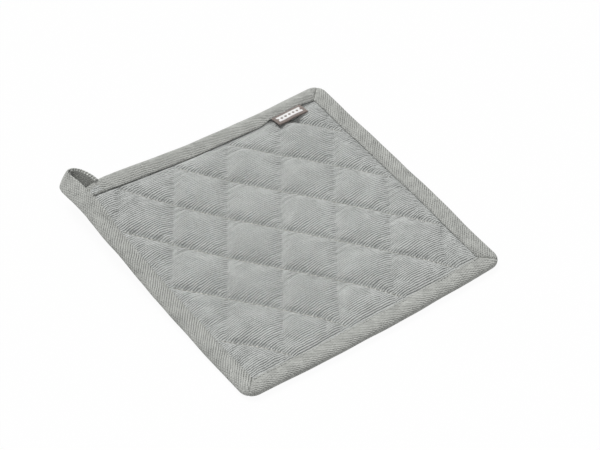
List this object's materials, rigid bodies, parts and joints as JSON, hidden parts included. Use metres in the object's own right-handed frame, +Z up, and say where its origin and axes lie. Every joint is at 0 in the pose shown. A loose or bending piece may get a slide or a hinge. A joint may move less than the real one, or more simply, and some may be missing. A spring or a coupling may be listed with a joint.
{
  "type": "pot holder",
  "caption": "Square quilted pot holder with diamond stitching, a folded binding round its edge, a small plain tag and a hanging loop at one corner.",
  "frame": {"origin": "on the table under the middle of the overall box, the hanging loop included", "axes": "+X and +Y along the square's sides, with the loop's corner at -X +Y; +Z up, out of the quilted front"},
  "size_m": [0.2, 0.215, 0.0193],
  "materials": {
    "face_cotton": "matt pale grey-green cotton with a fine rib",
    "wadding_felt": "soft undyed wadding",
    "binding_cotton": "matt pale grey-green cotton tape with a fine slanting rib",
    "tag_weave": "smooth taupe woven tape"
  },
  "bodies": {
    "root": {"front_cover": "face_cotton", "back_cover": "face_cotton", "wadding": "wadding_felt", "edge_binding": "binding_cotton", "label": "tag_weave"}
  },
  "joints": []
}
